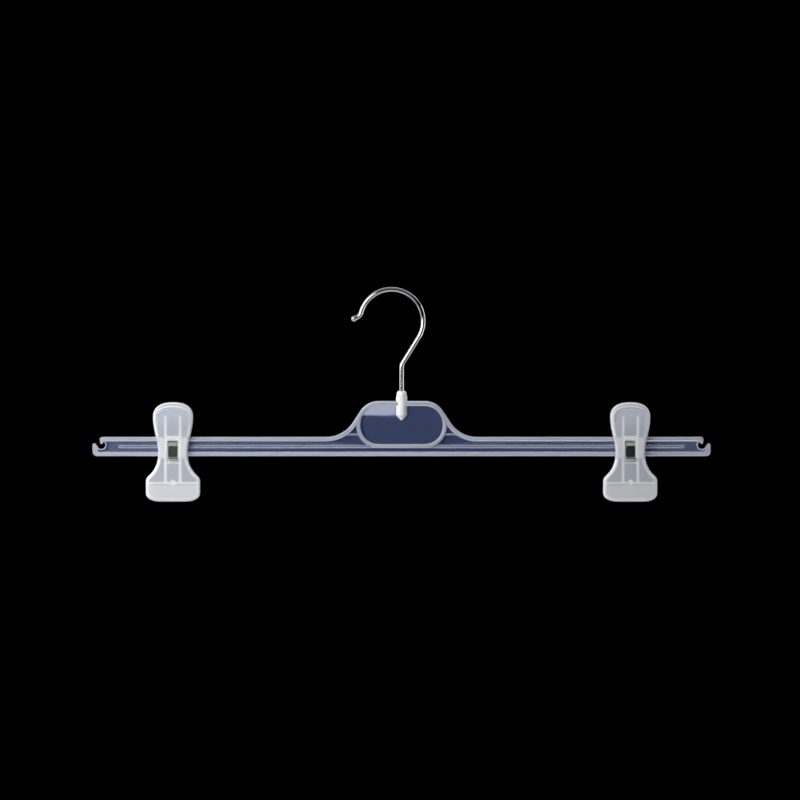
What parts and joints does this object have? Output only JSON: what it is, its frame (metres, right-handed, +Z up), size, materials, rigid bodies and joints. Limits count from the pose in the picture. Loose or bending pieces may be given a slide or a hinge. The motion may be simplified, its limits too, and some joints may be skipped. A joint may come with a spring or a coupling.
{
  "type": "clip hanger",
  "caption": "Clear plastic skirt and trouser hanger: a straight bar with a raised plate, a swivelling wire hook and sliding spring clips.",
  "frame": {"origin": "the point on the inside of the hook straight above its stem, where a rail carries the hanger", "axes": "+Z up, +X along the bar to the right as seen from the front, the front faces -Y"},
  "size_m": [0.4, 0.0208, 0.1387],
  "materials": {
    "clear_styrene": "polished",
    "natural_nylon": "satin",
    "polished_steel": "polished",
    "frosted_propylene": "satin",
    "spring_steel": "satin",
    "soft_pad": "matte"
  },
  "bodies": {
    "hook": {"hook": "polished_steel"},
    "hanger": {"hanger_body": "clear_styrene", "hook_bush": "natural_nylon"},
    "left_clip": {"left_spring": "spring_steel"},
    "left_front_jaw": {"left_front_shell": "frosted_propylene", "left_front_pad": "soft_pad"},
    "left_rear_jaw": {"left_rear_shell": "frosted_propylene", "left_rear_pad": "soft_pad"},
    "right_clip": {"right_spring": "spring_steel"},
    "right_front_jaw": {"right_front_shell": "frosted_propylene", "right_front_pad": "soft_pad"},
    "right_rear_jaw": {"right_rear_shell": "frosted_propylene", "right_rear_pad": "soft_pad"}
  },
  "joints": [
    {"name": "hook_swivel", "type": "hinge", "parent": "hook", "child": "hanger", "pos_m": [0, 0, -0.0665], "axis": [0, 0, 1], "continuous": true},
    {"name": "left_clip_slide", "type": "slide", "parent": "hanger", "child": "left_clip", "axis": [1, 0, 0], "range_m": [-0.031, 0.086]},
    {"name": "left_jaw_front", "type": "hinge", "parent": "left_clip", "child": "left_front_jaw", "pos_m": [-0.148, 0, -0.09], "axis": [-1, 0, 0], "range_deg": [0, 12], "stiffness_Nm_per_rad": 0.4, "springref_deg": -5.73, "deforming": ["left_spring"]},
    {"name": "left_jaw_rear", "type": "hinge", "parent": "left_clip", "child": "left_rear_jaw", "pos_m": [-0.148, 0, -0.09], "axis": [1, 0, 0], "range_deg": [0, 12], "stiffness_Nm_per_rad": 0.4, "springref_deg": -5.73},
    {"name": "right_clip_slide", "type": "slide", "parent": "hanger", "child": "right_clip", "axis": [1, 0, 0], "range_m": [-0.086, 0.031]},
    {"name": "right_jaw_front", "type": "hinge", "parent": "right_clip", "child": "right_front_jaw", "pos_m": [0.148, 0, -0.09], "axis": [-1, 0, 0], "range_deg": [0, 12], "stiffness_Nm_per_rad": 0.4, "springref_deg": -5.73, "deforming": ["right_spring"]},
    {"name": "right_jaw_rear", "type": "hinge", "parent": "right_clip", "child": "right_rear_jaw", "pos_m": [0.148, 0, -0.09], "axis": [1, 0, 0], "range_deg": [0, 12], "stiffness_Nm_per_rad": 0.4, "springref_deg": -5.73}
  ],
  "couplings": [
    {"joint": "left_jaw_rear", "follows": "left_jaw_front", "ratio": 1},
    {"joint": "right_jaw_rear", "follows": "right_jaw_front", "ratio": 1}
  ]
}
